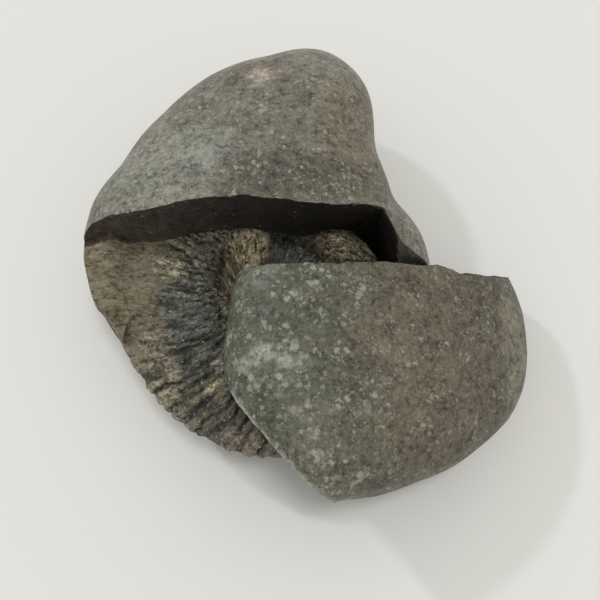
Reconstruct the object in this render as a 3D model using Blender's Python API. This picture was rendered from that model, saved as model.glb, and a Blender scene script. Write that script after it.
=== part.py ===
"""A split shaligram: a river-worn black shale nodule that has broken open round its ammonite.

Three pieces. The host stone keeps the back of the nodule's skin over the ammonite and a thin saucer
under it. The ammonite, a ribbed disc coiled clockwise, sits in the host's pocket with its front left side
bare. The loose piece, a cap of the same skin, has slipped to the right: its left rim lies on the ammonite
and its right side stands on the table.

Drawn in millimetres, +Z up, and brought to metres at the end, with the origin under the middle of the
footprint, on the table.
"""

import math

import bmesh
import bpy
from mathutils import Matrix, Vector, noise

MM = 0.001

# The middle of the whole object's footprint, in the drawing's own x and y.
FOOTPRINT_MIDDLE = (1.17, 9.32)

# The gap that parts every two solids that touch.
GAP = 0.5

# The nodule before it broke: a rounded form about its middle, with one plan radius for every 15 degrees
# counterclockwise from +X, a height above and a depth below the middle, and the power of its section.
NODULE = {
    "middle": (-8.0, 12.0, 18.0),
    "radii": (
        33.5, 29.8, 30.5, 34.3, 45.0, 49.2, 45.6, 42.5, 38.6, 36.0, 34.7, 36.0,
        36.3, 35.8, 35.5, 36.0, 38.0, 41.0, 43.5, 44.0, 42.0, 39.5, 37.0, 35.6,
    ),
    "rise": 20.2,
    "drop": 18.25,
    "roundness": 2.45,
    "tilt": 0.0,
}

# The skin of the loose piece, in its slipped pose, before its broken sides are cut.
CAP = {
    "middle": (15.0, -14.0, 18.0),
    "radii": (
        31.6, 34.0, 36.8, 38.4, 36.0, 35.0, 34.5, 34.5, 35.0, 35.0, 33.5, 31.8,
        31.2, 31.4, 32.0, 33.0, 32.0, 27.0, 24.6, 23.2, 23.1, 24.1, 25.8, 28.8,
    ),
    "rise": 14.0,
    "drop": 24.0,
    "roundness": 2.6,
    "tilt": 21.0,
}

# The break across the host, by x: where its back wall meets the skin, at what height, and how steeply it is
# undercut below that. Then the inner wall of the limb at the right, by y, which ends in front of y LIMB_END.
WALL_TOP = (
    (-60.0, 12.2), (-42.8, 12.1), (-39.0, 12.1), (-34.6, 12.4), (-28.5, 12.7), (-22.7, 13.4), (-17.9, 13.9),
    (-10.3, 13.7), (-5.6, 13.1), (0.0, 12.1), (7.5, 11.8), (15.3, 12.8), (60.0, 12.8),
)
WALL_TOP_HEIGHT = (
    (-60.0, 20.0), (-42.9, 26.1), (-40.9, 29.9), (-38.5, 32.5), (-34.0, 35.4), (-28.0, 37.8), (-22.0, 39.0),
    (0.0, 39.0), (7.5, 38.0), (15.2, 35.4), (60.0, 35.0),
)
WALL_UNDERCUT = (
    (-60.0, 0.05), (-38.0, 0.05), (-33.0, -0.05), (-26.0, -0.12), (-12.0, -0.04), (0.0, 0.06), (10.0, 0.2),
    (60.0, 0.26),
)
LIMB = ((-60.0, 25.5), (4.0, 24.3), (5.0, 22.0), (6.7, 19.4), (10.2, 17.2), (13.0, 15.3), (60.0, 14.0))
LIMB_END = 5.0

# The height of the broken floor round the ammonite, by azimuth about it.
HOST_FLOOR = ((0.0, 6.0), (160.0, 10.0), (192.0, 9.5), (225.0, 8.5), (270.0, 8.0), (330.0, 6.0), (360.0, 6.0))

# The strip of brown matrix that still covers the ammonite's outer edge at the far left: its inner side, by
# y, its broken front end, as a line in plan, its top, which falls outwards and forwards, and how far from
# the inner side it starts to slope down to the ammonite, and by how much.
MATRIX_INNER = ((-12.0, -35.5), (-8.0, -34.4), (-3.0, -33.2), (9.0, -34.3), (20.0, -35.0))
MATRIX_FRONT = (-40.5, -1.5, -1.1)
MATRIX_TOP = (26.2, 0.5, 0.12)
MATRIX_EDGE = (4.0, 3.0)

# The loose piece's broken sides: its back face, by x, with the height of its upper edge and how far it leans
# out below that edge; its front left face, by y, with the height of its upper edge and how steeply it is
# undercut below that; and its underside, from the table at the right up to the ammonite at the left.
CAP_BACK = (
    (-26.0, 2.0), (-12.0, 1.2), (-7.4, 0.5), (0.0, 0.4), (7.4, 1.1), (15.1, 2.6), (21.1, 3.2), (24.6, 3.5),
    (29.3, 3.5), (33.7, 4.3), (38.4, 5.7), (42.1, 7.2), (60.0, 11.0),
)
CAP_BACK_TOP = ((-14.0, 27.0), (0.0, 33.3), (15.0, 31.0), (25.0, 27.0), (34.0, 23.0), (42.0, 16.7), (60.0, 8.0))
CAP_BACK_LEAN = ((-24.0, 0.0), (24.0, 0.0), (30.0, 0.55), (60.0, 0.55))
CAP_SIDE = (
    (-60.0, 17.0), (-41.2, 3.6), (-39.9, 2.2), (-36.4, -1.7), (-31.0, -6.6), (-27.0, -9.6), (-24.5, -11.4),
    (-21.2, -12.8), (-18.4, -14.2), (-14.8, -16.5), (-8.0, -22.0), (0.0, -26.0), (60.0, -26.0),
)
CAP_SIDE_TOP = (
    (-60.0, 28.0), (-39.9, 29.8), (-36.4, 32.2), (-31.0, 33.0), (-24.5, 31.2), (-14.8, 28.2), (60.0, 28.0),
)
CAP_SIDE_UNDERCUT = 0.42
CAP_FLOOR = ((-60.0, 26.6), (-13.0, 26.2), (2.0, 22.0), (18.0, 14.0), (27.0, 7.5), (33.0, -1.0), (60.0, -2.0))
CAP_FLOOR_TURN = 0.10

# The ammonite, by azimuth about its middle, every 15 degrees counterclockwise from +X: the radius of its
# rim, which grows clockwise up to its mouth inside the host. Its hollow middle is a circle off the middle.
SHELL_MIDDLE = (-6.1, 2.2, 14.8)
SHELL_RIM = (
    23.6, 23.4, 23.0, 22.4, 21.5, 22.5, 26.5, 30.5, 33.0, 34.5, 35.2, 34.8,
    34.0, 30.8, 29.9, 30.1, 30.5, 31.5, 32.1, 31.2, 29.5, 27.5, 25.8, 24.3,
)
UMBILICUS = (2.7, 1.7, 10.0)
UMBILICUS_DEPTH = 0.25
SHELL_ABOVE = 0.30
SHELL_BELOW = 0.255
SHELL_CREST = 0.16
INNER_RINGS = 0.24
SHELL_RINGS = 18

# Its ribs: how many to a turn, how far they sweep forward from the umbilicus to the rim, and their height.
RIBS = 64
RIB_SWEEP = 24.0
RIB_SWEEP_POWER = 1.7
RIB_HEIGHT = 1.0

# How the ammonite's print lies in the loose piece, which slipped and turned off it.
PRINT_MIDDLE = (11.0, -8.0, 12.5)
PRINT_TURN = (0.0, 21.0, 14.0)

STONE = ("black_shale_skin", (0.115, 0.110, 0.095, 1.0), 0.55)
FOSSIL = ("ammonite_mineral", (0.085, 0.082, 0.066, 1.0), 0.48)
LOOSE = ("black_shale_cap", (0.100, 0.098, 0.082, 1.0), 0.55)


def smoothstep(low, high, value):
    """0 below low, 1 above high, and a smooth rise between them."""
    share = min(1.0, max(0.0, (value - low) / (high - low)))
    return share * share * (3.0 - 2.0 * share)


def ring(values, degrees):
    """A smooth closed curve through evenly spaced values, read at an angle."""
    place = (degrees % 360.0) / 360.0 * len(values)
    step = int(place)
    share = place - step
    a, b, c, d = (values[(step + k) % len(values)] for k in (-1, 0, 1, 2))
    slope_b = (c - a) / 2.0
    slope_c = (d - b) / 2.0
    rest = 1.0 - share
    return (
        b * (1.0 + 2.0 * share) * rest * rest
        + slope_b * share * rest * rest
        + c * share * share * (3.0 - 2.0 * share)
        - slope_c * share * share * rest
    )


def along(points, place):
    """The second number of a list of pairs, read in a straight line between them."""
    for (x0, y0), (x1, y1) in zip(points, points[1:]):
        if place <= x1:
            return y0 + (y1 - y0) * max(0.0, (place - x0) / (x1 - x0))
    return points[-1][1]


def rough(x, y, z, size, height):
    """A broken face's unevenness at a point: noise of one size and half as much of half the size."""
    point = Vector((x, y, z)) / size
    return height * (noise.noise(point) + 0.5 * noise.noise(point * 2.1))


def worn_radius(form, direction):
    """Distance from a rounded form's middle to its skin, along a unit direction."""
    flat = math.hypot(direction.x, direction.y)
    azimuth = math.degrees(math.atan2(direction.y, direction.x))
    height = form["rise"] if direction.z > 0.0 else form["drop"]
    power = form["roundness"]
    level = (flat / ring(form["radii"], azimuth)) ** power + (abs(direction.z) / height) ** power
    return level ** (-1.0 / power)


def new_object(name, mesh):
    """An object in the scene that shows a mesh."""
    thing = bpy.data.objects.new(name, mesh)
    bpy.context.scene.collection.objects.link(thing)
    return thing


def object_from(name, bm):
    """An object made from a bmesh, which is freed."""
    mesh = bpy.data.meshes.new(name)
    bm.to_mesh(mesh)
    bm.free()
    return new_object(name, mesh)


def worn_stone(name, form, levels):
    """A rounded form as a closed solid, its underside cut flat on the table."""
    bm = bmesh.new()
    bmesh.ops.create_icosphere(bm, subdivisions=levels, radius=1.0)
    turn = Matrix.Rotation(math.radians(form["tilt"]), 3, "Y")
    middle = Vector(form["middle"])
    for vert in bm.verts:
        direction = vert.co.normalized()
        vert.co = turn @ (direction * worn_radius(form, direction)) + middle
    everything = bm.verts[:] + bm.edges[:] + bm.faces[:]
    cut = bmesh.ops.bisect_plane(bm, geom=everything, plane_co=(0, 0, 0), plane_no=(0, 0, -1), clear_outer=True)
    rim = [edge for edge in cut["geom_cut"] if isinstance(edge, bmesh.types.BMEdge)]
    bmesh.ops.contextual_create(bm, geom=rim)
    bmesh.ops.triangulate(bm, faces=bm.faces)
    bmesh.ops.recalc_face_normals(bm, faces=bm.faces)
    return object_from(name, bm)


def gridded_cube(cells):
    """A unit cube from 0 to 1 on each axis, its faces cut into that many cells along X, Y and Z."""
    bm = bmesh.new()
    bmesh.ops.create_cube(bm, size=1.0)
    bmesh.ops.translate(bm, vec=(0.5, 0.5, 0.5), verts=bm.verts)
    for axis, count in enumerate(cells):
        lines = [e for e in bm.edges if abs(e.verts[0].co[axis] - e.verts[1].co[axis]) > 1e-6]
        bmesh.ops.subdivide_edges(bm, edges=lines, cuts=count - 1, use_grid_fill=True)
    return bm


def host_wall(x, z):
    """The y of the host's back wall at an x and a height."""
    below = min(20.0, max(0.0, along(WALL_TOP_HEIGHT, x) - z))
    return along(WALL_TOP, x) + along(WALL_UNDERCUT, x) * below + rough(x, 0.0, z, 9.0, 0.5)


def host_floor(x, y):
    """The height of the host's broken floor at a place in plan."""
    azimuth = math.degrees(math.atan2(y - SHELL_MIDDLE[1], x - SHELL_MIDDLE[0])) % 360.0
    return along(HOST_FLOOR, azimuth) + rough(x, y, 5.0, 6.0, 0.6)


def matrix_block():
    """The block that the host keeps of the missing part, over the ammonite's outer edge."""
    bm = gridded_cube((8, 10, 8))
    for vert in bm.verts:
        u, v, w = vert.co
        x = -50.0 + 16.0 * u
        front = MATRIX_FRONT[1] + MATRIX_FRONT[2] * (x - MATRIX_FRONT[0]) + rough(x, 2.0, 30.0 * w, 4.0, 0.5)
        y = front + (18.0 - front) * v
        x = -50.0 + (along(MATRIX_INNER, y) + rough(7.0, y, 30.0 * w, 5.0, 0.6) + 50.0) * u
        top = MATRIX_TOP[0] - MATRIX_TOP[1] * (MATRIX_INNER[2][1] - x) - MATRIX_TOP[2] * (9.0 - y)
        top += rough(x, y, 3.0, 5.0, 0.45)
        top -= MATRIX_EDGE[1] * smoothstep(MATRIX_EDGE[0], 0.0, along(MATRIX_INNER, y) - x)
        vert.co = (x, y, -4.0 + (top + 4.0) * w)
    bmesh.ops.triangulate(bm, faces=bm.faces)
    return object_from("matrix_block", bm)


def host_break():
    """The block that is missing from the nodule in front of the host's back wall."""
    bm = gridded_cube((36, 24, 10))
    for vert in bm.verts:
        u, v, w = vert.co
        z = 60.0 * w
        front = -60.0 + 72.0 * v**0.8
        right = along(LIMB, front) + 40.0 * smoothstep(-LIMB_END - 0.7, -LIMB_END + 0.7, -front)
        x = -48.0 + (right + 48.0) * u**1.25
        y = front + (host_wall(x, z) - 12.0) * smoothstep(6.5, 12.0, front)
        floor = host_floor(x, y)
        vert.co = (x, y, floor + (60.0 - floor) * w)
    bmesh.ops.triangulate(bm, faces=bm.faces)
    return object_from("host_break", bm)


def cap_block():
    """The block that the loose piece's skin is cut to: inside its back, front left and under sides."""
    bm = gridded_cube((26, 24, 14))
    for vert in bm.verts:
        u, v, w = vert.co
        x = -26.0 + 86.0 * u
        z = 64.0 * w
        below = min(6.0, max(-10.0, along(CAP_BACK_TOP, x) - z))
        back = along(CAP_BACK, x) + along(CAP_BACK_LEAN, x) * below + rough(x, 9.0, z, 8.0, 0.4)
        y = -60.0 + (back + 60.0) * v
        side = along(CAP_SIDE, y)
        under = along(CAP_FLOOR, side + (60.0 - side) * u + CAP_FLOOR_TURN * y)
        height = under + (64.0 - under) * w
        deep = min(12.0, max(-3.0, along(CAP_SIDE_TOP, y) - height))
        side += CAP_SIDE_UNDERCUT * deep * smoothstep(-8.0, -14.0, y)
        side += rough(3.0, y, height, 6.0, 0.4) * smoothstep(0.0, -9.0, y)
        x = side + (60.0 - side) * u
        floor = along(CAP_FLOOR, x + CAP_FLOOR_TURN * y) + rough(x, y, 0.0, 7.0, 0.8)
        vert.co = (x, y, floor + (64.0 - floor) * w)
    bmesh.ops.triangulate(bm, faces=bm.faces)
    return object_from("cap_block", bm)


def umbilicus_radius(azimuth):
    """Distance from the ammonite's middle to the edge of its hollow, by azimuth in degrees."""
    side = UMBILICUS[0] * math.cos(math.radians(azimuth)) + UMBILICUS[1] * math.sin(math.radians(azimuth))
    off = UMBILICUS[0] ** 2 + UMBILICUS[1] ** 2
    return side + math.sqrt(side**2 - off + UMBILICUS[2] ** 2)


def whorl_section(out):
    """Half thickness of a whorl over its greatest, by share of the way from its inner edge to its rim."""
    if out < SHELL_CREST:
        return UMBILICUS_DEPTH + (1.0 - UMBILICUS_DEPTH) * math.sin(math.pi / 2.0 * out / SHELL_CREST) ** 0.7
    fall = (out - SHELL_CREST) / (1.0 - SHELL_CREST)
    return math.sqrt(max(0.0, 1.0 - fall**2.1))


def rib_rise(grid, out):
    """Height of the ribs at a grid angle, which follows them, by share of the way out over the whorl."""
    wave = abs(math.cos(math.radians(grid) * RIBS / 2.0)) ** 1.3
    return RIB_HEIGHT * wave * (0.35 + 0.65 * out) * smoothstep(0.02, 0.18, out)


def shell_point(grid, share, side, ribbed=True, filled=False):
    """A point of the ammonite's upper or lower skin about its middle, by grid angle and share of the way out."""
    out = max(0.0, share - INNER_RINGS) / (1.0 - INNER_RINGS)
    azimuth = -(grid + RIB_SWEEP * out**RIB_SWEEP_POWER)
    rim = ring(SHELL_RIM, azimuth)
    inner = umbilicus_radius(azimuth)
    thickness = rim * (SHELL_ABOVE if side > 0.0 else SHELL_BELOW)
    if share < INNER_RINGS:
        radius = inner * share / INNER_RINGS
        height = thickness * (1.0 if filled else UMBILICUS_DEPTH)
        rise = RIB_HEIGHT * filled
    else:
        radius = inner + (rim - inner) * out
        height = thickness * (max(whorl_section(out), 1.0 * (filled and out < SHELL_CREST)))
        rise = rib_rise(grid, out) if ribbed else RIB_HEIGHT
    outward = out**5
    radius += rise * outward
    height = height + rise * (1.0 - outward) if share < 1.0 else 0.0
    angle = math.radians(azimuth)
    return Vector((radius * math.cos(angle), radius * math.sin(angle), side * height))


def shell_solid(name, columns, rings, ribbed, filled, swell=0.0):
    """The ammonite, or a smooth form round it, as a closed solid about its own middle."""
    bm = bmesh.new()
    bmesh.ops.create_uvsphere(bm, u_segments=columns, v_segments=rings, radius=1.0)
    for vert in bm.verts:
        flat = min(1.0, math.hypot(vert.co.x, vert.co.y))
        grid = -math.degrees(math.atan2(vert.co.y, vert.co.x)) % 360.0
        side = 1.0 if vert.co.z > 0.0 else -1.0
        share = 1.0 if abs(vert.co.z) < 1e-4 else flat**1.1
        vert.co = shell_point(grid, share, side, ribbed, filled)
    bmesh.ops.triangulate(bm, faces=bm.faces)
    bmesh.ops.recalc_face_normals(bm, faces=bm.faces)
    if swell:
        for vert, normal in [(vert, vert.normal.copy()) for vert in bm.verts]:
            vert.co += normal * swell
    return object_from(name, bm)


def combine(target, tool, operation):
    """Cuts, joins or crosses one solid with another, and removes the tool."""
    modifier = target.modifiers.new(operation.lower(), "BOOLEAN")
    modifier.operation = operation
    modifier.solver = "EXACT"
    modifier.use_self = True
    modifier.object = tool
    graph = bpy.context.evaluated_depsgraph_get()
    mesh = bpy.data.meshes.new_from_object(target.evaluated_get(graph))
    target.modifiers.clear()
    target.data = mesh
    bpy.data.objects.remove(tool)


def keep_largest(thing):
    """Deletes every loose chip that a cut left beside the piece itself."""
    bm = bmesh.new()
    bm.from_mesh(thing.data)
    left = set(bm.verts)
    bodies = []
    while left:
        reached = {left.pop()}
        body = set(reached)
        while reached:
            nearby = {edge.other_vert(vert) for vert in reached for edge in vert.link_edges}
            reached = nearby - body
            body |= reached
        left -= body
        bodies.append(body)
    largest = max(bodies, key=len)
    bmesh.ops.delete(bm, geom=[vert for vert in bm.verts if vert not in largest], context="VERTS")
    bm.to_mesh(thing.data)
    bm.free()


def lighten(thing, share):
    """Keeps that share of a solid's triangles, taking them from where the surface bends least."""
    modifier = thing.modifiers.new("lighten", "DECIMATE")
    modifier.ratio = share
    graph = bpy.context.evaluated_depsgraph_get()
    mesh = bpy.data.meshes.new_from_object(thing.evaluated_get(graph))
    thing.modifiers.clear()
    thing.data = mesh


def finish(thing, finish_values):
    """Brings a piece to metres and to the origin, and gives it its material and smooth shading."""
    name, colour, roughness = finish_values
    material = bpy.data.materials.new(name)
    material.use_nodes = True
    shader = material.node_tree.nodes["Principled BSDF"]
    shader.inputs["Base Color"].default_value = colour
    shader.inputs["Roughness"].default_value = roughness
    shader.inputs["Metallic"].default_value = 0.0
    thing.data.materials.clear()
    thing.data.materials.append(material)
    shift = Matrix.Translation((-FOOTPRINT_MIDDLE[0], -FOOTPRINT_MIDDLE[1], 0.0))
    thing.data.transform(Matrix.Scale(MM, 4) @ shift)
    thing.data.shade_smooth()
    thing.data.set_sharp_from_angle(angle=math.radians(35.0))


def main():
    """Builds the three pieces."""
    for old in list(bpy.data.objects):
        bpy.data.objects.remove(old)

    ammonite = shell_solid("ammonite", RIBS * 2, SHELL_RINGS, ribbed=True, filled=False)
    ammonite.data.transform(Matrix.Translation(SHELL_MIDDLE))

    host = worn_stone("host_stone", NODULE, 5)
    missing = host_break()
    combine(missing, matrix_block(), "DIFFERENCE")
    combine(host, missing, "DIFFERENCE")
    pocket = shell_solid("pocket", RIBS, SHELL_RINGS, ribbed=False, filled=False, swell=GAP)
    pocket.data.transform(Matrix.Translation(SHELL_MIDDLE))
    combine(host, pocket, "DIFFERENCE")
    keep_largest(host)

    loose = worn_stone("loose_piece", CAP, 5)
    combine(loose, cap_block(), "INTERSECT")
    print_form = shell_solid("print", RIBS, SHELL_RINGS, ribbed=False, filled=True)
    turns = [Matrix.Rotation(math.radians(angle), 4, axis) for angle, axis in zip(PRINT_TURN, "XYZ")]
    print_form.data.transform(Matrix.Translation(PRINT_MIDDLE) @ turns[2] @ turns[1] @ turns[0])
    combine(loose, print_form, "DIFFERENCE")
    clear = shell_solid("clear", RIBS, SHELL_RINGS, ribbed=False, filled=True, swell=GAP)
    clear.data.transform(Matrix.Translation(SHELL_MIDDLE))
    combine(loose, clear, "DIFFERENCE")
    keep_largest(loose)

    lighten(host, 0.5)
    lighten(loose, 0.5)
    finish(host, STONE)
    finish(ammonite, FOSSIL)
    finish(loose, LOOSE)


main()
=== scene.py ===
"""A split shaligram on a pale table: a river-worn black nodule broken open round its ribbed ammonite.

The forms are drawn in millimetres with the same named values as the exact part, and brought to metres in
the part's own frame. Three pieces replace the part's three nodes: the host stone, the ammonite in its
pocket and the loose piece of the nodule's skin that leans on the ammonite.
"""

from __future__ import annotations

import logging
import math
from dataclasses import dataclass
from enum import Enum

import bmesh
import bpy
from mathutils import Matrix, Vector, noise

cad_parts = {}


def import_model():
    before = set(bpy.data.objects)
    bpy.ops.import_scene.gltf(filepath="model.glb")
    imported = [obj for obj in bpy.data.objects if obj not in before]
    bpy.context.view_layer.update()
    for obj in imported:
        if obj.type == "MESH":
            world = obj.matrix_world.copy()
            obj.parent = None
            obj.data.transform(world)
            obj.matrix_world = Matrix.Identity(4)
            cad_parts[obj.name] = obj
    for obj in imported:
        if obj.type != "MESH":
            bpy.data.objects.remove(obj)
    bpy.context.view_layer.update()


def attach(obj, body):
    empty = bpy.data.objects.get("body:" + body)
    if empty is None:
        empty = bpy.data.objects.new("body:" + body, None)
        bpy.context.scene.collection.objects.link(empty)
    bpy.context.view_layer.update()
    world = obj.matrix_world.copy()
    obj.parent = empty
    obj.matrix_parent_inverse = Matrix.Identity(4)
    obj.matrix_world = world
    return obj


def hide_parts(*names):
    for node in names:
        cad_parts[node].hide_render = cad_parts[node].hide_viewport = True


LOG = logging.getLogger("shaligram")

MM = 0.001
BODY = "root"
# Faces that meet at more than this many degrees keep a sharp edge between them.
SHARP_ANGLE = 38.0
# How finely the spheres that the two skins start from are divided.
SKIN_LEVELS = 7
# A face counts as broken from this height and this depth under the skin on, in millimetres.
BROKEN_HEIGHT = 0.3
BROKEN_DEPTH = 0.1

# The middle of the whole object's footprint, in the drawing's own x and y, in millimetres.
FOOTPRINT_MIDDLE = (1.17, 9.32)

Pairs = tuple[tuple[float, float], ...]
Place = tuple[float, float, float]
Colour = tuple[float, float, float]
MATRIX_BROWN: Colour = (0.160, 0.137, 0.088)
MATRIX_PALE: Colour = (0.280, 0.262, 0.195)


class Cut(Enum):
    """How one solid acts on another."""

    REMOVE = "DIFFERENCE"
    KEEP = "INTERSECT"


class Mask(Enum):
    """Values kept on a piece for its finish to read."""

    BROKEN = "broken"
    MATRIX = "matrix"
    TONE = "tone"
    FLOW = "flow"
    # How near a rib's crest a point is; the fossil's finish paints shade between the ribs and sheen on the
    # crests from it.
    CREST = "crest"


class Domain(Enum):
    """What each value kept on a piece belongs to."""

    POINT = "POINT"
    FACE = "FACE"


def smoothstep(low: float, high: float, value: float) -> float:
    """A smooth rise from 0 at one value to 1 at another.

    Args:
        low: Where the rise starts.
        high: Where the rise ends; it may lie below low.
        value: The value to read.

    Returns:
        The share from 0 to 1.
    """
    share = min(1.0, max(0.0, (value - low) / (high - low)))
    return share * share * (3.0 - 2.0 * share)


def ring(values: tuple[float, ...], degrees: float) -> float:
    """A smooth closed curve through evenly spaced values.

    Args:
        values: The values, from angle 0 on.
        degrees: The angle to read.

    Returns:
        The curve's value there.
    """
    place = (degrees % 360.0) / 360.0 * len(values)
    step = int(place)
    share = place - step
    a, b, c, d = (values[(step + k) % len(values)] for k in (-1, 0, 1, 2))
    slope_b = (c - a) / 2.0
    slope_c = (d - b) / 2.0
    rest = 1.0 - share
    return (
        b * (1.0 + 2.0 * share) * rest * rest
        + slope_b * share * rest * rest
        + c * share * share * (3.0 - 2.0 * share)
        - slope_c * share * share * rest
    )


def along(points: Pairs, place: float) -> float:
    """The second number of a list of pairs, read in a straight line between them.

    Args:
        points: The pairs, in order of their first number.
        place: The first number to read at.

    Returns:
        The second number there.
    """
    for (x0, y0), (x1, y1) in zip(points, points[1:]):
        if place <= x1:
            return y0 + (y1 - y0) * max(0.0, (place - x0) / (x1 - x0))
    return points[-1][1]


def rough(x: float, y: float, z: float, size: float, height: float) -> float:
    """A broken face's unevenness at a point: noise of one size and half as much of half the size.

    Args:
        x: The point's x.
        y: The point's y.
        z: The point's z.
        size: The size of the larger bumps.
        height: The height of the larger bumps.

    Returns:
        The offset.
    """
    point = Vector((x, y, z)) / size
    return height * (noise.noise(point) + 0.5 * noise.noise(point * 2.1))


def crumble(point: Vector, size: float, height: float) -> float:
    """Fine grain of a broken face: sharp little ridges of one size and two smaller ones.

    Args:
        point: The place to read.
        size: The size of the largest grains.
        height: The height of the largest grains.

    Returns:
        The offset.
    """
    total = 0.0
    for step in range(3):
        scale = 2.0**step
        total += (0.5 - abs(noise.noise(point * (scale / size)))) / scale
    return height * (total - 0.6)


@dataclass(frozen=True)
class Patch:
    """A softly edged area of another colour, as seen from above.

    Attributes:
        place: Its middle in the drawing's x and y.
        reach: Its radii along x and y.
        colour: Its colour.
        strength: How much of its colour shows in its middle.
    """

    place: tuple[float, float]
    reach: tuple[float, float]
    colour: Colour
    strength: float = 1.0

    def share(self, point: Vector, stray: float) -> float:
        """How much of the patch shows at a point.

        Args:
            point: The point.
            stray: How far the patch's edge strays there.

        Returns:
            The share from 0 to 1.
        """
        across = (point.x - self.place[0]) / self.reach[0]
        away = (point.y - self.place[1]) / self.reach[1]
        return self.strength * smoothstep(1.3, 0.4, math.hypot(across, away) + stray)


def toned(point: Vector, ground: Colour, patches: tuple[Patch, ...]) -> Vector:
    """The colour of a weathered surface at a point.

    Args:
        point: The point.
        ground: The colour away from all patches.
        patches: The patches, each over those before it.

    Returns:
        The colour.
    """
    stray = 0.38 * noise.noise(point / 4.0) + 0.25 * noise.noise(point / 1.5)
    colour = Vector(ground)
    for patch in patches:
        colour = colour.lerp(Vector(patch.colour), patch.share(point, stray))
    return colour


@dataclass(frozen=True)
class WornForm:
    """A river-worn rounded form about a middle, with one plan radius for every 15 degrees.

    Attributes:
        middle: The form's middle.
        radii: The plan radii, counterclockwise from +X.
        rise: The height above the middle.
        drop: The depth below the middle.
        roundness: The power of the form's section.
        tilt: How far it is turned about Y, in degrees, right side down.
        lumps: The height of the worn surface's gentle lumps.
        chips: Shallow pits on the skin, each as its place, radius and depth.
        lump_size: The size of the gentle lumps, and dimple_size of the smaller ones on them.
        dimple_size: See lump_size.
        pit_size: The size of the skin's fine pits, and pit_depth their depth.
        pit_depth: See pit_size.
    """

    middle: Place
    radii: tuple[float, ...]
    rise: float
    drop: float
    roundness: float
    tilt: float
    lumps: float
    chips: tuple[tuple[Place, float, float], ...] = ()
    lump_size: float = 9.0
    dimple_size: float = 3.2
    pit_size: float = 1.15
    pit_depth: float = 0.12

    def radius(self, direction: Vector) -> float:
        """Distance from the middle to the skin.

        Args:
            direction: A unit direction in the form's own axes.

        Returns:
            The distance, with the gentle lumps of the worn skin.
        """
        flat = math.hypot(direction.x, direction.y)
        azimuth = math.degrees(math.atan2(direction.y, direction.x))
        height = self.rise if direction.z > 0.0 else self.drop
        level = (flat / ring(self.radii, azimuth)) ** self.roundness
        level += (abs(direction.z) / height) ** self.roundness
        reach = level ** (-1.0 / self.roundness)
        place = direction * reach
        worn = self.lumps * (noise.noise(place / self.lump_size) - 0.35)
        worn += 0.35 * self.lumps * noise.noise(place / self.dimple_size)
        worn -= self.pit_depth * smoothstep(0.28, 0.62, noise.noise(place / self.pit_size))
        for spot, size, depth in self.chips:
            off = (place - Vector(spot)).length + 0.35 * noise.noise(place / 1.1)
            worn -= depth * smoothstep(size, 0.35 * size, off)
        return reach + worn

    def turn(self) -> Matrix:
        """The matrix that turns the form's own axes into the drawing's."""
        return Matrix.Rotation(math.radians(self.tilt), 3, "Y")

    def depth(self, point: Vector) -> float:
        """How far a point lies inside the skin, measured towards the middle.

        Args:
            point: A point of the drawing.

        Returns:
            The depth, 0 on the skin.
        """
        inner = self.turn().inverted() @ (point - Vector(self.middle))
        return self.radius(inner.normalized()) - inner.length

    def solid(self, name: str, levels: int) -> bpy.types.Object:
        """The form as a closed solid, its underside cut flat on the table.

        Args:
            name: The object's name.
            levels: How finely the sphere is divided.

        Returns:
            The solid.
        """
        bm = bmesh.new()
        bmesh.ops.create_icosphere(bm, subdivisions=levels, radius=1.0)
        turn, middle = self.turn(), Vector(self.middle)
        for vert in bm.verts:
            direction = vert.co.normalized()
            vert.co = turn @ (direction * self.radius(direction)) + middle
        everything = bm.verts[:] + bm.edges[:] + bm.faces[:]
        cut = bmesh.ops.bisect_plane(
            bm, geom=everything, plane_co=(0, 0, 0), plane_no=(0, 0, -1), clear_outer=True
        )
        rim = [edge for edge in cut["geom_cut"] if isinstance(edge, bmesh.types.BMEdge)]
        bmesh.ops.contextual_create(bm, geom=rim)
        bmesh.ops.triangulate(bm, faces=bm.faces)
        bmesh.ops.recalc_face_normals(bm, faces=bm.faces)
        return MeshTools.object_from(name, bm)


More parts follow.
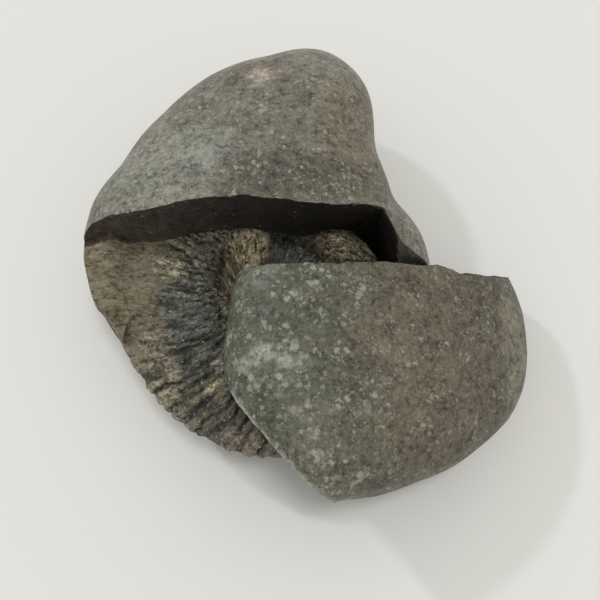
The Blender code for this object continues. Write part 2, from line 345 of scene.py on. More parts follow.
class MeshTools:
    """Small steps that every piece's making shares."""

    @staticmethod
    def object_from(name: str, bm: bmesh.types.BMesh) -> bpy.types.Object:
        """An object in the scene made from a bmesh, which is freed.

        Args:
            name: The object's name.
            bm: The mesh to take.

        Returns:
            The object.
        """
        mesh = bpy.data.meshes.new(name)
        bm.to_mesh(mesh)
        bm.free()
        thing = bpy.data.objects.new(name, mesh)
        bpy.context.scene.collection.objects.link(thing)
        return thing

    @staticmethod
    def gridded_cube(cells: tuple[int, int, int]) -> bmesh.types.BMesh:
        """A unit cube from 0 to 1 on each axis.

        Args:
            cells: How many cells its faces have along X, Y and Z.

        Returns:
            The cube as a bmesh.
        """
        bm = bmesh.new()
        bmesh.ops.create_cube(bm, size=1.0)
        bmesh.ops.translate(bm, vec=(0.5, 0.5, 0.5), verts=bm.verts)
        for axis, count in enumerate(cells):
            spans = [(edge, edge.verts[1].co - edge.verts[0].co) for edge in bm.edges]
            lines = [edge for edge, span in spans if abs(span[axis]) > 1e-6]
            bmesh.ops.subdivide_edges(bm, edges=lines, cuts=count - 1, use_grid_fill=True)
        return bm

    @staticmethod
    def combine(target: bpy.types.Object, tool: bpy.types.Object, how: Cut) -> None:
        """Cuts or crosses one solid with another, and removes the tool.

        Args:
            target: The solid that changes.
            tool: The solid that acts on it.
            how: What it does.
        """
        modifier = target.modifiers.new(how.name.lower(), "BOOLEAN")
        modifier.operation = how.value
        modifier.solver = "EXACT"
        modifier.object = tool
        graph = bpy.context.evaluated_depsgraph_get()
        mesh = bpy.data.meshes.new_from_object(target.evaluated_get(graph))
        target.modifiers.clear()
        target.data = mesh
        bpy.data.objects.remove(tool)

    @staticmethod
    def keep_largest(thing: bpy.types.Object) -> None:
        """Deletes every loose chip that a cut left beside the piece itself.

        Args:
            thing: The piece.
        """
        bm = bmesh.new()
        bm.from_mesh(thing.data)
        left = set(bm.verts)
        bodies: list[set[bmesh.types.BMVert]] = []
        while left:
            reached = {left.pop()}
            body = set(reached)
            while reached:
                nearby = {edge.other_vert(vert) for vert in reached for edge in vert.link_edges}
                reached = nearby - body
                body |= reached
            left -= body
            bodies.append(body)
        largest = max(bodies, key=len)
        loose = [vert for vert in bm.verts if vert not in largest]
        bmesh.ops.delete(bm, geom=loose, context="VERTS")
        bm.to_mesh(thing.data)
        bm.free()

    @staticmethod
    def note(thing: bpy.types.Object, domain: Domain, mask: Mask, values: list[float]) -> None:
        """Keeps one number per point or face on a piece, for its finish.

        Args:
            thing: The piece.
            domain: Whether the numbers belong to points or faces.
            mask: Which mask the numbers are.
            values: One number for each of the mesh's points or faces.
        """
        kept = thing.data.attributes.new(mask.value, "FLOAT", domain.value)
        kept.data.foreach_set("value", values)

    @staticmethod
    def note_tones(thing: bpy.types.Object, tones: list[Vector]) -> None:
        """Keeps one colour per point on a piece, for its finish.

        Args:
            thing: The piece.
            tones: One colour for each of the mesh's points.
        """
        kept = thing.data.attributes.new(Mask.TONE.value, "FLOAT_COLOR", Domain.POINT.value)
        kept.data.foreach_set("color", [value for tone in tones for value in (*tone, 1.0)])

    @staticmethod
    def place(thing: bpy.types.Object, node: str, slot: str) -> None:
        """Brings a piece to metres in the frame, smooths it and lets it stand for its node.

        Args:
            thing: The piece.
            node: The node that it replaces.
            slot: The name of the record's material slot; not used.
        """
        shift = Matrix.Translation((-FOOTPRINT_MIDDLE[0], -FOOTPRINT_MIDDLE[1], 0.0))
        thing.data.transform(Matrix.Scale(MM, 4) @ shift)
        thing.data.shade_smooth()
        thing.data.set_sharp_from_angle(angle=math.radians(SHARP_ANGLE))
        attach(thing, BODY)
        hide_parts(node)


class Shader:
    """A material's or a group's nodes, with short ways to add and join them."""

    def __init__(self, tree: bpy.types.NodeTree) -> None:
        """Starts on a node tree.

        Args:
            tree: The tree to add nodes to.
        """
        self.tree = tree

    def add(self, kind: str, **sockets: object) -> bpy.types.Node:
        """Adds a node and sets or joins its inputs.

        Args:
            kind: The node's type, without its "ShaderNode" start.
            sockets: Each input's name, with spaces as underscores, and a value or an output to join.
                A name that starts with "set_" is one of the node's own settings.

        Returns:
            The node.
        """
        node = self.tree.nodes.new("ShaderNode" + kind)
        for key, value in sockets.items():
            if key.startswith("set_"):
                setattr(node, key[4:], value)
        for key, value in sockets.items():
            if not key.startswith("set_"):
                self.join(node, key.replace("_", " "), value)
        return node

    def join(self, node: bpy.types.Node, name: str, value: object) -> None:
        """Sets or joins one input.

        Args:
            node: The node.
            name: The input's name, or its number as text.
            value: A number, a colour or an output.
        """
        target = node.inputs[int(name)] if name.isdigit() else node.inputs[name]
        if isinstance(value, bpy.types.NodeSocket):
            self.tree.links.new(value, target)
        elif isinstance(value, tuple) and target.type == "RGBA" and len(value) == 3:
            target.default_value = (*value, 1.0)
        else:
            target.default_value = value

    def maths(
        self, operation: str, first: object, second: object = 0.0, clamp: bool = False
    ) -> bpy.types.NodeSocket:
        """One sum on two numbers.

        Args:
            operation: The Math node's operation.
            first: The first number or output.
            second: The second number or output.
            clamp: Whether the result is kept from 0 to 1.

        Returns:
            The result's output.
        """
        node = self.add("Math", set_operation=operation, set_use_clamp=clamp)
        self.join(node, "0", first)
        self.join(node, "1", second)
        return node.outputs[0]

    def plus(self, first: object, second: object) -> bpy.types.NodeSocket:
        """The sum of two numbers."""
        return self.maths("ADD", first, second)

    def minus(self, first: object, second: object) -> bpy.types.NodeSocket:
        """The first number less the second."""
        return self.maths("SUBTRACT", first, second)

    def times(self, first: object, second: object) -> bpy.types.NodeSocket:
        """The product of two numbers."""
        return self.maths("MULTIPLY", first, second)

    def over(self, first: object, second: object) -> bpy.types.NodeSocket:
        """The first number over the second."""
        return self.maths("DIVIDE", first, second)

    def blend(
        self, share: object, first: object, second: object, mode: str = "MIX"
    ) -> bpy.types.NodeSocket:
        """Mixes two colours.

        Args:
            share: How much of the second.
            first: The first colour.
            second: The second colour.
            mode: The Mix node's blend type.

        Returns:
            The mixed colour's output.
        """
        node = self.add("Mix", set_data_type="RGBA", set_blend_type=mode)
        self.join(node, "0", share)
        self.join(node, "6", first)
        self.join(node, "7", second)
        return node.outputs[2]

    def ramp(
        self, value: object, low: float, high: float, bottom: float = 0.0, top: float = 1.0
    ) -> bpy.types.NodeSocket:
        """A smooth step between two values.

        Args:
            value: The number to read.
            low: Where the step starts.
            high: Where the step ends.
            bottom: The result below low.
            top: The result above high.

        Returns:
            The stepped number's output.
        """
        node = self.add("MapRange", set_interpolation_type="SMOOTHSTEP")
        names = ("Value", "From Min", "From Max", "To Min", "To Max")
        for name, number in zip(names, (value, low, high, bottom, top)):
            self.join(node, name, number)
        return node.outputs[0]

    def noise(
        self, place: object, size: float, detail: float = 2.0, rough_share: float = 0.5
    ) -> bpy.types.NodeSocket:
        """A noise texture of a size in millimetres.

        Args:
            place: The place in millimetres.
            size: The size of its spots.
            detail: How many finer layers it has.
            rough_share: How strong the finer layers are.

        Returns:
            The noise's number output, about 0.5.
        """
        node = self.add("TexNoise", Vector=place, Scale=1.0 / size, Detail=detail, Roughness=rough_share)
        return node.outputs[0]

    def value_of(self, mask: Mask) -> bpy.types.NodeSocket:
        """A number kept on the piece."""
        return self.add("Attribute", set_attribute_name=mask.value).outputs["Fac"]

    def colour_of(self, mask: Mask) -> bpy.types.NodeSocket:
        """A colour kept on the piece."""
        return self.add("Attribute", set_attribute_name=mask.value).outputs["Color"]

    def place_of(self, mask: Mask) -> bpy.types.NodeSocket:
        """A place kept on the piece."""
        return self.add("Attribute", set_attribute_name=mask.value).outputs["Vector"]

    def strengthen(self, colour: object, strength: bpy.types.NodeSocket) -> bpy.types.NodeSocket:
        """Multiplies a colour by a number.

        Args:
            colour: The colour.
            strength: The number.

        Returns:
            The stronger or weaker colour's output.
        """
        grey = self.add("CombineColor", Red=strength, Green=strength, Blue=strength).outputs[0]
        return self.blend(1.0, colour, grey, "MULTIPLY")

    def group(self, tree: bpy.types.NodeTree, **sockets: object) -> bpy.types.Node:
        """Places a node group.

        Args:
            tree: The group.
            sockets: Its inputs, as in add.

        Returns:
            The group's node.
        """
        return self.add("Group", set_node_tree=tree, **sockets)


class SharedEffects:
    """The node groups that more than one material uses."""

    def __init__(self) -> None:
        """Builds each group once."""
        self.grain = self._mineral_grain()
        self.sparkle = self._sparkle()
        self.crust = self._matrix_crust()

    @staticmethod
    def _new(
        name: str, inputs: dict[str, float | None], outputs: dict[str, str]
    ) -> tuple[Shader, bpy.types.bpy_prop_collection, bpy.types.Node]:
        """An empty group with named sockets.

        Args:
            name: The group's name.
            inputs: Each input's name with its default, which is None for a place.
            outputs: Each output's name with its kind.

        Returns:
            The group's nodes, its inputs' sockets and the node that its outputs go to.
        """
        tree = bpy.data.node_groups.new(name, "ShaderNodeTree")
        for label, default in inputs.items():
            kind = "NodeSocketVector" if default is None else "NodeSocketFloat"
            socket = tree.interface.new_socket(label, in_out="INPUT", socket_type=kind)
            if default is not None:
                socket.default_value = default
        for label, kind in outputs.items():
            tree.interface.new_socket(label, in_out="OUTPUT", socket_type="NodeSocket" + kind)
        start = tree.nodes.new("NodeGroupInput").outputs
        return Shader(tree), start, tree.nodes.new("NodeGroupOutput")

    def _mineral_grain(self) -> bpy.types.NodeTree:
        """A stone's grain: how bright it is, masks of its pale spots and dark pits, and a height."""
        numbers = {"Grain Size": 0.5, "Contrast": 1.0, "Spot Size": 2.0, "Spot Share": 0.5}
        results = {"Grain": "Float", "Spots": "Float", "Pits": "Float", "Height": "Float"}
        s, start, end = self._new("mineral_grain", {"Place": None, **numbers}, results)
        place, size = start["Place"], start["Spot Size"]
        layers = []
        total: object = 0.0
        for times, weight in ((1.0, 1.5), (2.6, 1.5), (8.0, 1.0)):
            layer = s.add("TexNoise", Vector=place, Detail=2.0, Roughness=0.6)
            s.join(layer, "Scale", s.over(1.0 / times, start["Grain Size"]))
            layers.append(layer.outputs[0])
            total = s.plus(total, s.times(s.minus(layer.outputs[0], 0.5), weight))
        grain = s.plus(1.0, s.times(total, start["Contrast"]))

        # Spots are the middles of crooked cells, with fewer of them in some areas than in others.
        bend = s.add("TexNoise", Vector=place, Detail=2.0)
        s.join(bend, "Scale", s.over(1.7, size))
        shift = s.add("VectorMath", set_operation="SCALE")
        s.join(shift, "0", bend.outputs[1])
        s.join(shift, "3", s.times(size, 1.2))
        bent = s.add("VectorMath", set_operation="ADD")
        s.join(bent, "0", place)
        s.join(bent, "1", shift.outputs[0])
        cells = s.add("TexVoronoi", set_feature="F1", Vector=bent.outputs[0])
        s.join(cells, "Scale", s.over(1.0, size))
        picks = s.add("SeparateColor", Color=cells.outputs["Color"]).outputs
        crowd = s.times(s.minus(s.noise(place, 5.0), 0.5), 1.6)
        chosen = s.minus(s.plus(s.plus(picks[0], start["Spot Share"]), crowd), 1.0)
        reach = s.plus(s.times(chosen, 0.55), 0.13)
        spots = s.maths("MULTIPLY", s.minus(reach, cells.outputs["Distance"]), 3.8, clamp=True)
        spots = s.times(spots, s.ramp(picks[1], 0.0, 1.0, 0.35, 1.15))

        s.join(end, "Grain", s.maths("MAXIMUM", grain, 0.15))
        s.join(end, "Spots", spots)
        s.join(end, "Pits", s.ramp(layers[1], 0.40, 0.31))
        s.join(end, "Height", s.plus(s.times(layers[0], 0.5), s.times(layers[1], 0.5)))
        return s.tree

    def _matrix_crust(self) -> bpy.types.NodeTree:
        """Brown matrix in thin beds: its colour and a height."""
        s, start, end = self._new("matrix_crust", {"Place": None}, {"Colour": "Color", "Height": "Float"})
        layered = s.add("Mapping", Vector=start["Place"], Scale=(0.40, 1.7, 1.2)).outputs[0]
        bedded = s.group(
            self.grain, Place=layered, Grain_Size=0.45, Contrast=1.5, Spot_Size=1.1, Spot_Share=0.85
        )
        crust = s.strengthen(MATRIX_BROWN, bedded.outputs["Grain"])
        crust = s.blend(s.times(bedded.outputs["Spots"], 0.4), crust, MATRIX_PALE)
        s.join(end, "Colour", s.strengthen(crust, s.minus(1.0, s.times(bedded.outputs["Pits"], 0.5))))
        s.join(end, "Height", bedded.outputs["Height"])
        return s.tree

    def _sparkle(self) -> bpy.types.NodeTree:
        """Rare bright mineral specks: a mask."""
        sockets = {"Place": None, "Speck Size": 0.4, "Rarity": 0.8}
        s, start, end = self._new("sparkle", sockets, {"Specks": "Float"})
        cells = s.add("TexVoronoi", Vector=start["Place"], set_feature="F1")
        s.join(cells, "Scale", s.over(1.0, start["Speck Size"]))
        near = s.ramp(cells.outputs["Distance"], 0.42, 0.22)
        pick = s.add("SeparateColor", Color=cells.outputs["Color"])
        chosen = s.maths("GREATER_THAN", pick.outputs[0], start["Rarity"])
        s.join(end, "Specks", s.times(near, chosen))
        return s.tree


@dataclass(frozen=True, kw_only=True)
class Finish:
    """What every finish here shares.

    Attributes:
        name: The material's name.
        roughness: The worn surface's roughness.
        specular: How strongly it mirrors light.
    """

    name: str
    roughness: float
    specular: float = 0.45

    def start(self) -> tuple[bpy.types.Material, Shader, bpy.types.Node, bpy.types.NodeSocket]:
        """A new material with its shader and a place in millimetres.

        Returns:
            The material, its nodes, its Principled shader and the place.
        """
        material = bpy.data.materials.new(self.name)
        material.use_nodes = True
        shader = Shader(material.node_tree)
        surface = material.node_tree.nodes["Principled BSDF"]
        surface.inputs["Metallic"].default_value = 0.0
        surface.inputs["Roughness"].default_value = self.roughness
        surface.inputs["Specular IOR Level"].default_value = self.specular
        where = shader.add("TexCoord")
        scaled = shader.add("Mapping", Vector=where.outputs["Object"], Scale=(1.0 / MM,) * 3)
        return material, shader, surface, scaled.outputs[0]

    @staticmethod
    def bump(shader: Shader, surface: bpy.types.Node, height: bpy.types.NodeSocket, reach: float) -> None:
        """Lets a height in millimetres shade the surface.

        Args:
            shader: The material's nodes.
            surface: The Principled shader.
            height: The height, about 0 to 1.
            reach: What a height of 1 stands for, in millimetres.
        """
        node = shader.add("Bump", Strength=1.0, Distance=reach * MM, Height=height)
        shader.join(surface, "Normal", node.outputs[0])


@dataclass(frozen=True, kw_only=True)
class PaleTable(Finish):
    """A plain matt table top, very slightly clouded.

    Attributes:
        ground: Its colour.
        shade: How bright the clouds are over the ground.
        cloud_size: The size of the clouds in millimetres.
        cloud_share: How much of the clouds' colour shows at most.
    """

    ground: Colour
    shade: float = 0.90
    cloud_size: float = 90.0
    cloud_share: float = 0.05

    def material(self) -> bpy.types.Material:
        """Builds the finish.

        Returns:
            The material.
        """
        made, s, surface, place = self.start()
        cloud = s.times(s.noise(place, self.cloud_size), self.cloud_share)
        shaded = tuple(part * self.shade for part in self.ground)
        s.join(surface, "Base Color", s.blend(cloud, self.ground, shaded))
        return made


@dataclass(frozen=True, kw_only=True)
class WornSkin(Finish):
    """River-worn black shale, with nearly black rough faces where it has broken, and painted shade that
    darkens those faces towards the right.

    Attributes:
        ground: The skin's colour, and patches the areas where it differs.
        patches: See ground.
        pale: The colour of its pale spots.
        rust: The colour of its faint rusty stains.
        spots_from: The x in millimetres where the pale spots start to thin out, and spots_to where they have.
        spots_to: See spots_from.
        spot_size: The size of the pale spots.
        spot_left: How many pale spots it has at the left, and spot_right at the right.
        spot_right: See spot_left.
        contrast: How strong its grain is.
        broken: The colour of a broken face.
        broken_shade_from: The x in millimetres from which painted shade darkens a broken face, and
            broken_shade_to where it is darkest; to the left a broken face is painted lighter.
        broken_shade_to: See broken_shade_from.
    """

    ground: Colour
    patches: tuple[Patch, ...]
    pale: Colour
    rust: Colour
    spots_from: float
    spots_to: float
    spot_size: float
    spot_left: float
    spot_right: float
    contrast: float
    broken: Colour = (0.026, 0.018, 0.013)
    broken_shade_from: float = -42.0
    broken_shade_to: float = -4.0

    def material(self, effects: SharedEffects) -> bpy.types.Material:
        """Builds the finish.

        Args:
            effects: The shared node groups.

        Returns:
            The material.
        """
        made, s, surface, place = self.start()
        across = s.add("SeparateXYZ", Vector=place).outputs[0]
        wander = s.times(s.minus(s.noise(place, 12.0, 3.0), 0.5), 30.0)
        share = s.ramp(
            s.plus(across, wander), self.spots_from, self.spots_to, self.spot_left, self.spot_right
        )
        grain = s.group(
            effects.grain,
            Place=place,
            Grain_Size=0.52,
            Contrast=self.contrast,
            Spot_Size=self.spot_size,
            Spot_Share=share,
        ).outputs
        fine = s.group(
            effects.grain, Place=place, Grain_Size=0.3, Contrast=1.0, Spot_Size=0.62, Spot_Share=0.80
        ).outputs
        skin = s.strengthen(s.colour_of(Mask.TONE), grain["Grain"])
        skin = s.blend(s.times(grain["Spots"], 0.85), skin, self.pale)
        skin = s.blend(s.times(fine["Spots"], 0.55), skin, self.pale)
        stain = s.ramp(s.noise(place, 3.2, 4.0), 0.58, 0.74)
        skin = s.blend(s.times(stain, 0.28), skin, self.rust)
        skin = s.strengthen(skin, s.minus(1.0, s.times(grain["Pits"], 0.12)))

        coarse = s.group(
            effects.grain, Place=place, Grain_Size=0.5, Contrast=1.6, Spot_Size=1.6, Spot_Share=0.6
        ).outputs
        specks = s.group(effects.sparkle, Place=place, Speck_Size=0.7, Rarity=0.975).outputs[0]
        fresh = s.strengthen(self.broken, coarse["Grain"])
        # Painted shade: broken faces lighter at the left and darker towards the right, where the break lies
        # deep in shade.
        fresh = s.strengthen(fresh, s.ramp(across, self.broken_shade_from, self.broken_shade_to, 1.55, 0.42))
        fresh = s.blend(s.times(specks, 0.35), fresh, self.pale)
        crust = s.group(effects.crust, Place=place).outputs["Colour"]
        fresh = s.blend(s.value_of(Mask.MATRIX), fresh, crust)

        inside = s.value_of(Mask.BROKEN)
        s.join(surface, "Base Color", s.blend(inside, skin, fresh))
        dull = s.plus(s.times(inside, 0.25), self.roughness)
        s.join(surface, "Roughness", s.minus(dull, s.times(fine["Height"], 0.10)))
        height = s.add("Mix", set_data_type="FLOAT")
        s.join(height, "0", inside)
        s.join(height, "2", grain["Height"])
        s.join(height, "3", s.times(coarse["Height"], 2.4))
        self.bump(s, surface, height.outputs[0], 0.20)
        return made


@dataclass(frozen=True, kw_only=True)
class FossilMineral(Finish):
    """The ammonite's dark mineral, its ribs worn to a dull shine, with painted shade between the ribs and a
    painted sheen on their crests.

    Attributes:
        ground: The mineral's colour, and patches the areas where it differs.
        patches: See ground.
        cover: The colour of the matrix left near the rim at the left.
        pale: The colour of its pale grains.
        gold: The colour of its golden grains.
        glint: The colour of its bright specks: painted glints.
    """

    ground: Colour
    patches: tuple[Patch, ...]
    cover: Colour
    pale: Colour
    gold: Colour
    glint: Colour

    def material(self, effects: SharedEffects) -> bpy.types.Material:
        """Builds the finish.

        Args:
            effects: The shared node groups.

        Returns:
            The material.
        """
        made, s, surface, place = self.start()
        crest = s.value_of(Mask.CREST)
        flow = s.place_of(Mask.FLOW)
        grain = s.group(
            effects.grain, Place=place, Grain_Size=0.34, Contrast=1.9, Spot_Size=0.7, Spot_Share=0.75
        ).outputs
        streak = s.group(
            effects.grain, Place=flow, Grain_Size=0.50, Contrast=1.3, Spot_Size=1.0, Spot_Share=0.80
        ).outputs
        ribbed = s.strengthen(s.colour_of(Mask.TONE), grain["Grain"])
        ribbed = s.strengthen(ribbed, streak["Grain"])
        ribbed = s.blend(s.times(streak["Spots"], 0.40), ribbed, self.pale)
        ribbed = s.blend(s.times(grain["Spots"], 0.35), ribbed, self.gold)
        # Painted shade and sheen: darker away from the rib crests, lighter on them.
        ribbed = s.strengthen(ribbed, s.ramp(crest, 0.18, 0.70, 0.22, 1.42))
        pits = s.maths("MAXIMUM", grain["Pits"], streak["Pits"])
        ribbed = s.strengthen(ribbed, s.minus(1.0, s.times(pits, 0.55)))
        # Painted glints: rare bright specks mixed into the colour, with the surface a little smoother under
        # them.
        specks = s.group(effects.sparkle, Place=place, Speck_Size=0.55, Rarity=0.93).outputs[0]
        glint = s.times(specks, 0.7)
        ribbed = s.blend(glint, ribbed, self.glint)

        crust = s.group(effects.crust, Place=place).outputs["Colour"]
        s.join(surface, "Base Color", s.blend(s.value_of(Mask.MATRIX), ribbed, crust))
        dull = s.minus(self.roughness, s.times(s.ramp(crest, 0.4, 1.0), 0.12))
        s.join(surface, "Roughness", s.minus(dull, s.times(glint, 0.2)))
        height = s.plus(grain["Height"], s.times(streak["Height"], 1.4))
        self.bump(s, surface, height, 0.70)
        return made


@dataclass(frozen=True)
class Ammonite:
    """The coiled ribbed fossil: a disc whose rim grows clockwise up to its mouth inside the host.

    Attributes:
        middle: The disc's middle.
        rim: The rim's radius for every 15 degrees counterclockwise from +X.
        umbilicus: The hollow middle's offset in x and y and its radius.
        hollow: The hollow's half thickness over the whorl's.
        above: Half thickness over the rim's radius above the middle plane, and below it.
        below: See above.
        crest: Where the whorl is thickest, as a share of the way out.
        inner_share: The share of the rings that the hollow takes.
        ribs: How many ribs a turn has.
        sweep: How far a rib sweeps forward on its way out, in degrees.
        sweep_power: How late it does.
        rib_height: The ribs' height.
        waver: The sizes of the areas in which the ribs stray, each with how far they do, in degrees.
        flow_reach: How far the ribs' flow starts from the middle, and how it grows up to and past flow_turn.
        flow_turn: The share of the way out where that changes.
        wrinkle_size: The size of the wrinkles along the ribs, and grain_size of the grain on them.
        grain_size: See wrinkle_size.
        columns: The mesh's columns round the disc, and rings from the upper to the lower middle.
        rings: See columns.
        smooth_columns: The same of the smooth form round it, with smooth_rings.
        smooth_rings: See smooth_columns.
    """

    middle: Place = (-6.1, 2.2, 14.8)
    rim: tuple[float, ...] = (
        23.6, 23.4, 23.0, 22.4, 21.5, 22.5, 26.5, 30.5, 33.0, 34.5, 35.2, 34.8,
        34.0, 30.8, 29.9, 30.1, 30.5, 31.5, 32.1, 31.2, 29.5, 27.5, 25.8, 24.3,
    )  # fmt: skip
    umbilicus: tuple[float, float, float] = (2.7, 1.7, 10.0)
    hollow: float = 0.25
    above: float = 0.30
    below: float = 0.255
    crest: float = 0.16
    inner_share: float = 0.24
    ribs: int = 64
    sweep: float = 24.0
    sweep_power: float = 1.7
    rib_height: float = 1.0
    waver: Pairs = ((5.0, 2.6), (1.8, 1.6))
    flow_reach: tuple[float, float, float] = (10.0, 10.5, 6.5)
    flow_turn: float = 0.3
    wrinkle_size: float = 1.1
    grain_size: float = 0.65
    columns: int = 768
    rings: int = 112
    smooth_columns: int = 256
    smooth_rings: int = 56

    def hollow_radius(self, azimuth: float) -> float:
        """Distance from the middle to the edge of the hollow.

        Args:
            azimuth: The direction in degrees.

        Returns:
            The distance.
        """
        x, y, radius = self.umbilicus
        angle = math.radians(azimuth)
        side = x * math.cos(angle) + y * math.sin(angle)
        return side + math.sqrt(side**2 - x * x - y * y + radius**2)

    def section(self, out: float) -> float:
        """A whorl's half thickness over its greatest.

        Args:
            out: The share of the way from the hollow to the rim.

        Returns:
            The share of the greatest half thickness.
        """
        if out < self.crest:
            climb = math.sin(math.pi / 2.0 * out / self.crest) ** 0.7
            return self.hollow + (1.0 - self.hollow) * climb
        fall = (out - self.crest) / (1.0 - self.crest)
        return math.sqrt(max(0.0, 1.0 - fall**2.1))

    def flow(self, grid: float, out: float) -> Vector:
        """A place that follows the ribs: close together along a rib, far apart across it.

        Args:
            grid: The angle along the grid, which follows the ribs.
            out: The share of the way out.

        Returns:
            The place.
        """
        angle = math.radians(grid)
        start, near, far = self.flow_reach
        shoulder = min(1.0, max(0.0, out) / self.flow_turn)
        reach = start + near * shoulder**0.8 + far * max(0.0, out - self.flow_turn)
        return Vector((reach * math.cos(angle), reach * math.sin(angle), 0.0))

    @staticmethod
    def covered(place: Vector) -> float:
        """How far the brown matrix still covers the fossil at a place.

        Args:
            place: The place in the drawing.

        Returns:
            The share from 0 to 1.
        """
        stray = 5.0 * noise.noise(place / 4.0) + 2.4 * noise.noise(place / 1.2)
        return smoothstep(-25.5, -32.5, place.x + stray) * smoothstep(-15.0, -8.0, place.y + stray)

    def rib(self, grid: float, out: float, place: Vector) -> tuple[float, float]:
        """A rib's height and how near its crest a point is.

        Args:
            grid: The angle along the grid, which follows the ribs.
            out: The share of the way out.
            place: The point without its rib.

        Returns:
            The height and the nearness to a crest, from 0 to 1.
        """
        grid += sum(stray * noise.noise(place / size) for size, stray in self.waver)
        flow = self.flow(grid, out)
        wave = abs(math.cos(math.radians(grid) * self.ribs / 2.0)) ** 0.7
        strength = 0.70 + 1.0 * noise.noise(flow / 3.0)
        wrinkle = 0.5 + 1.15 * noise.noise(flow / self.wrinkle_size)
        grain = 0.5 + 1.1 * noise.noise(place / self.grain_size)

        # The ribs stand out most at the rim and at the lower left, and least on the hollow's edge.
        shoulder = smoothstep(0.02, 0.24, out)
        low = smoothstep(-17.0, -22.0, place.y + self.middle[1])
        bold = max(smoothstep(0.60, 0.95, out), low)
        rise = (0.30 + 0.58 * bold) * strength * wave + (0.46 - 0.22 * bold) * wrinkle + 0.20 * grain
        rise *= 0.35 + 0.65 * shoulder
        crest = (0.34 + 0.24 * low) * wave * min(1.0, strength + 0.2)
        crest += (0.42 - 0.2 * low) * wrinkle + 0.24 * grain
        crest += (0.25 + 0.5 * grain - crest) * (1.0 - shoulder)

        covered = self.covered(place + Vector(self.middle))
        rise = rise * (1.0 - covered) + (0.90 + 0.10 * grain) * covered
        crest += (0.35 + 0.5 * grain - crest) * covered
        return self.rib_height * min(max(rise, 0.0), 1.0), min(1.0, max(0.0, crest))

    def point(
        self, grid: float, share: float, side: float, ribbed: bool, filled: bool
    ) -> tuple[Vector, float, float]:
        """A point of the upper or lower skin about the disc's middle.

        Args:
            grid: The angle along the grid.
            share: The share of the mesh's way out.
            side: 1 above, -1 below.
            ribbed: Whether it follows the ribs or the smooth form round them.
            filled: Whether the hollow is filled.

        Returns:
            The point, the share of the way out with the hollow below 0, and the nearness to a crest.
        """
        out = max(0.0, share - self.inner_share) / (1.0 - self.inner_share)
        azimuth = -(grid + self.sweep * out**self.sweep_power)
        rim = ring(self.rim, azimuth)
        inner = self.hollow_radius(azimuth)
        depth = self.above if side > 0.0 else self.below
        thickness = rim * depth
        angle = math.radians(azimuth)
        crest = 0.5
        if share < self.inner_share:
            near = share / self.inner_share
            even = sum(self.rim) / len(self.rim) * depth
            thickness = even + (thickness - even) * near * near
            radius = inner * near
            turns = 0.5 + 0.5 * math.cos(2.0 * math.pi * (near * 2.2 - azimuth / 360.0))
            lip = smoothstep(0.62, 0.9, near)
            level = self.hollow * (0.50 + 0.18 * turns * smoothstep(0.0, 0.3, near) + 0.35 * lip)
            height = thickness * (1.0 if filled else level)
            rise = self.rib_height * filled
            out = near - 1.0
        else:
            radius = inner + (rim - inner) * out
            height = thickness * max(self.section(out), float(filled and out < self.crest))
            rise = self.rib_height
            if ribbed:
                flat = Vector((radius * math.cos(angle), radius * math.sin(angle), side * height))
                rise, crest = self.rib(grid, out, flat)
        outward = max(0.0, out) ** 5
        radius += rise * outward
        height = height + rise * (1.0 - outward) if share < 1.0 else 0.0
        place = Vector((radius * math.cos(angle), radius * math.sin(angle), side * height))
        if ribbed and share < 1.0:
            bare = 1.0 - self.covered(place + Vector(self.middle))
            place.z -= side * bare * (0.16 + crumble(place, 1.1, 0.26))
        return place, out, crest

    def solid(self, name: str, ribbed: bool, swell: float = 0.0) -> bpy.types.Object:
        """The disc, or a smooth filled form round it, as a closed solid about its own middle.

        Args:
            name: The object's name.
            ribbed: Whether it is the ribbed disc or the smooth form.
            swell: How far it is grown outwards.

        Returns:
            The solid, with the masks for its finish.
        """
        bm = bmesh.new()
        columns = self.columns if ribbed else self.smooth_columns
        rings = self.rings if ribbed else self.smooth_rings
        bmesh.ops.create_grid(bm, x_segments=columns, y_segments=rings, size=0.5)
        flows = bm.verts.layers.float_vector.new(Mask.FLOW.value)
        crests = bm.verts.layers.float.new(Mask.CREST.value)
        upper = round(rings * (0.75 if ribbed else 0.5)) / rings
        for vert in bm.verts:
            down = min(1.0, max(0.0, 0.5 - vert.co.y))
            side = 1.0 if down <= upper else -1.0
            way = down / upper if side > 0.0 else (1.0 - down) / (1.0 - upper)
            share = 1.0 if way > 1.0 - 1e-6 else math.sin(math.pi / 2.0 * way) ** 1.1
            grid = 360.0 * ((vert.co.x + 0.5) % 1.0)
            vert.co, out, vert[crests] = self.point(grid, share, side, ribbed, not ribbed)
            vert[flows] = self.flow(grid, out)
        bmesh.ops.remove_doubles(bm, verts=bm.verts, dist=1e-5)
        bmesh.ops.triangulate(bm, faces=bm.faces)
        bmesh.ops.recalc_face_normals(bm, faces=bm.faces)
        if swell:
            for vert, normal in [(vert, vert.normal.copy()) for vert in bm.verts]:
                vert.co += normal * swell
        return MeshTools.object_from(name, bm)

    def smooth_form(self, name: str, swell: float) -> bpy.types.Object:
        """The smooth form round the ammonite where it lies, to cut its pocket with.

        Args:
            name: The object's name.
            swell: How far it is grown outwards.

        Returns:
            The solid.
        """
        thing = self.solid(name, False, swell)
        thing.data.transform(Matrix.Translation(self.middle))
        return thing

